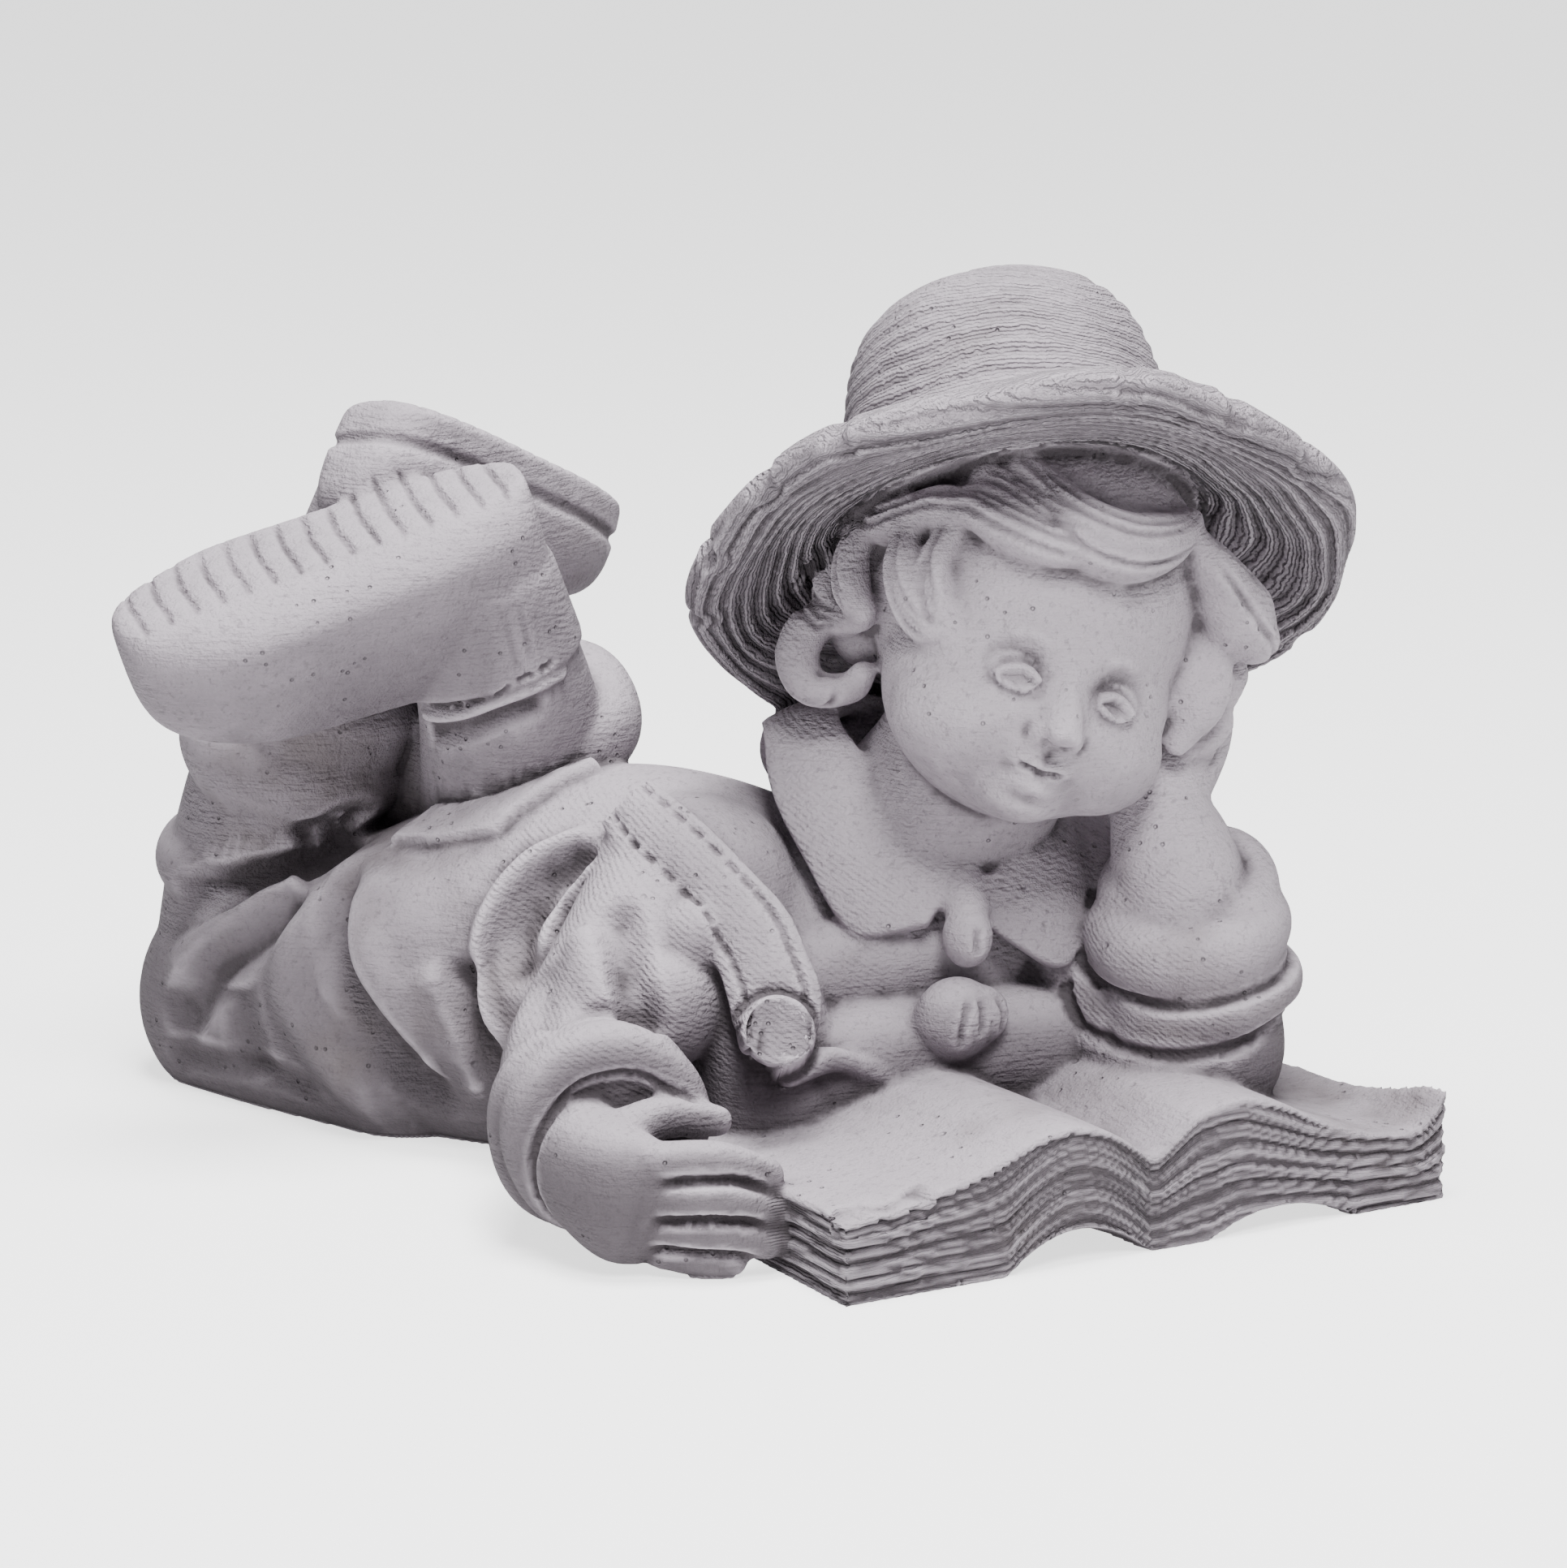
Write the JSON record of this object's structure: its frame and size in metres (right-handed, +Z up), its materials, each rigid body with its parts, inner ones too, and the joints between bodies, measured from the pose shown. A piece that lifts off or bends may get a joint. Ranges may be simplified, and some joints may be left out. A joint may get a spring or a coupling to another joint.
{
  "type": "garden statue of a reading boy",
  "caption": "Cast stone figure of a boy in a straw hat and dungarees, lying on his front with crossed feet raised, reading an open book.",
  "frame": {"origin": "on the ground under the left page of the book, inside the flat underside that carries the figure", "axes": "+Z up, +Y from the book towards the knees, +X to the boy's left"},
  "size_m": [0.3008, 0.4083, 0.2815],
  "materials": {
    "cast_stone": "matt, slightly pitted, light warm grey with darker dirt in the creases"
  },
  "bodies": {
    "root": {"reading_boy": "cast_stone"}
  },
  "joints": []
}
